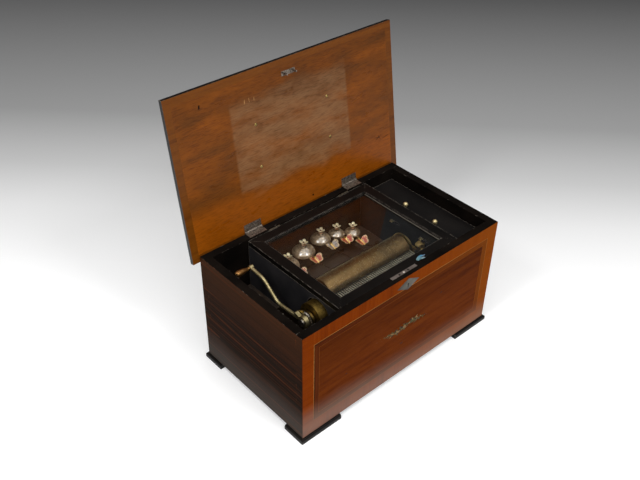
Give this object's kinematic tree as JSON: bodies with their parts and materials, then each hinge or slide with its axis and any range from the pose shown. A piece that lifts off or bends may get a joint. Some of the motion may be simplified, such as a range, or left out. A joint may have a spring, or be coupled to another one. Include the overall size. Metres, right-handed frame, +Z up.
{
  "type": "wind up music box",
  "caption": "Wooden lever-wound cylinder music box with hinged lid, glazed inner lid, comb, pinned cylinder, bells with butterfly strikers and control levers.",
  "frame": {"origin": "on the floor, at the middle of the object's bounding box with its lid open", "axes": "+X to the right of the keyhole front, +Y to the back, +Z up"},
  "size_m": [0.53, 0.3542, 0.5553],
  "materials": {
    "rosewood": "french polished",
    "ebonised_wood": "satin black",
    "lid_wood": "varnished",
    "pine": "dark stained",
    "brass": "aged lacquer",
    "steel": "ground",
    "nickel": "dulled",
    "iron": "bronzed",
    "glass": "clear",
    "silk": "woven",
    "gilt": "enamelled wings"
  },
  "bodies": {
    "case": {"front_wall": "rosewood", "back_wall": "rosewood", "left_wall": "rosewood", "right_wall": "rosewood", "corner_feet": "ebonised_wood", "left_partition": "ebonised_wood", "right_partition": "ebonised_wood", "control_deck": "ebonised_wood", "bottom_board": "pine", "sound_board": "pine", "board_cleats": "pine", "key_escutcheon": "brass", "inner_hinge_case_leaves": "brass", "left_bearing": "brass", "right_bearing": "brass", "barrel_bracket": "brass", "governor_frame": "brass", "governor_cock": "brass", "bell_nuts": "brass", "striker_posts": "brass", "lid_hinge_case_leaves": "steel", "lock_case": "steel", "movement_screws": "steel", "holding_click": "steel", "comb": "steel", "bell_rail": "steel", "striker_rod": "steel", "bells": "nickel", "bedplate": "iron", "comb_base": "iron"},
    "lid": {"lid_panel": "lid_wood", "lid_moulding": "ebonised_wood", "lid_hinge_leaves": "steel", "lid_link_plate": "steel", "lid_tacks": "brass"},
    "inner_lid": {"inner_lid_rails": "ebonised_wood", "glass_pane": "glass", "glazing_beads": "ebonised_wood", "inner_hinge_leaves": "brass", "ribbon_pull": "silk"},
    "lever": {"winding_lever": "brass", "lever_grip": "brass"},
    "pawl": {"lever_pawl": "steel"},
    "arbor": {"winding_arbor": "steel"},
    "barrel": {"spring_barrel": "brass", "barrel_cap": "brass", "mainspring": "steel"},
    "cylinder_shaft": {"cylinder_arbor": "steel", "cylinder_wheel": "brass"},
    "cylinder": {"pinned_cylinder": "brass"},
    "governor": {"governor_arbor": "brass"},
    "fly": {"governor_fly": "steel"},
    "stop": {"stop_lever": "brass"},
    "change": {"change_lever": "brass"},
    "bolt": {"lock_bolt": "steel"},
    "striker_1": {"bell_striker_1": "gilt"},
    "striker_2": {"bell_striker_2": "gilt"},
    "striker_3": {"bell_striker_3": "gilt"},
    "striker_4": {"bell_striker_4": "gilt"},
    "striker_5": {"bell_striker_5": "gilt"}
  },
  "joints": [
    {"name": "lid_hinge", "type": "hinge", "parent": "case", "child": "lid", "pos_m": [0, 0.11707, 0.2545], "axis": [-1, 0, 0], "range_deg": [-98.6, 0]},
    {"name": "inner_lid_hinge", "type": "hinge", "parent": "case", "child": "inner_lid", "pos_m": [0, 0.09807, 0.2514], "axis": [-1, 0, 0], "range_deg": [0, 94]},
    {"name": "winding_lever_swing", "type": "hinge", "parent": "case", "child": "lever", "pos_m": [-0.187, -0.10027, 0.20542], "axis": [1, 0, 0], "range_deg": [0, 95]},
    {"name": "winding_arbor_turn", "type": "hinge", "parent": "case", "child": "arbor", "pos_m": [-0.187, -0.10027, 0.20542], "axis": [1, 0, 0], "range_deg": [0, 95]},
    {"name": "pawl_lift", "type": "hinge", "parent": "lever", "child": "pawl", "pos_m": [-0.18, -0.07999, 0.21086], "axis": [-1, 0, 0], "range_deg": [0, 10], "stiffness_Nm_per_rad": 0.005, "springref_deg": -17.19},
    {"name": "cylinder_turn", "type": "hinge", "parent": "case", "child": "cylinder_shaft", "pos_m": [0, -0.05963, 0.2], "axis": [1, 0, 0], "continuous": true},
    {"name": "cylinder_shift", "type": "slide", "parent": "cylinder_shaft", "child": "cylinder", "axis": [1, 0, 0], "range_m": [0, 0.0026]},
    {"name": "barrel_turn", "type": "hinge", "parent": "case", "child": "barrel", "pos_m": [-0.187, -0.10027, 0.20542], "axis": [1, 0, 0], "continuous": true},
    {"name": "governor_turn", "type": "hinge", "parent": "case", "child": "governor", "pos_m": [0.129, -0.06443, 0.16755], "axis": [1, 0, 0], "continuous": true},
    {"name": "fly_turn", "type": "hinge", "parent": "case", "child": "fly", "pos_m": [0.129, -0.07863, 0.16755], "axis": [0, 0, 1], "continuous": true},
    {"name": "stop_lever_swing", "type": "hinge", "parent": "case", "child": "stop", "pos_m": [0.168, -0.07463, 0.2274], "axis": [0, 0, 1], "range_deg": [0, 30]},
    {"name": "change_lever_swing", "type": "hinge", "parent": "case", "child": "change", "pos_m": [0.168, 0.00537, 0.2274], "axis": [0, 0, 1], "range_deg": [0, 30]},
    {"name": "lock_bolt_slide", "type": "slide", "parent": "case", "child": "bolt", "axis": [1, 0, 0], "range_m": [0, 0.005]},
    {"name": "striker_1_lift", "type": "hinge", "parent": "case", "child": "striker_1", "pos_m": [0, -0.01063, 0.188], "axis": [1, 0, 0], "range_deg": [0, 14], "stiffness_Nm_per_rad": 0.01, "springref_deg": -28.65},
    {"name": "striker_2_lift", "type": "hinge", "parent": "case", "child": "striker_2", "pos_m": [0, -0.01063, 0.188], "axis": [1, 0, 0], "range_deg": [0, 14], "stiffness_Nm_per_rad": 0.01, "springref_deg": -28.65},
    {"name": "striker_3_lift", "type": "hinge", "parent": "case", "child": "striker_3", "pos_m": [0, -0.01063, 0.188], "axis": [1, 0, 0], "range_deg": [0, 14], "stiffness_Nm_per_rad": 0.01, "springref_deg": -28.65},
    {"name": "striker_4_lift", "type": "hinge", "parent": "case", "child": "striker_4", "pos_m": [0, -0.01063, 0.188], "axis": [1, 0, 0], "range_deg": [0, 14], "stiffness_Nm_per_rad": 0.01, "springref_deg": -28.65},
    {"name": "striker_5_lift", "type": "hinge", "parent": "case", "child": "striker_5", "pos_m": [0, -0.01063, 0.188], "axis": [1, 0, 0], "range_deg": [0, 14], "stiffness_Nm_per_rad": 0.01, "springref_deg": -28.65}
  ],
  "couplings": [
    {"joint": "winding_arbor_turn", "follows": "winding_lever_swing", "ratio": 1},
    {"joint": "barrel_turn", "follows": "cylinder_turn", "ratio": -0.28125},
    {"joint": "governor_turn", "follows": "cylinder_turn", "ratio": -5.8333},
    {"joint": "fly_turn", "follows": "cylinder_turn", "ratio": -163.33}
  ]
}
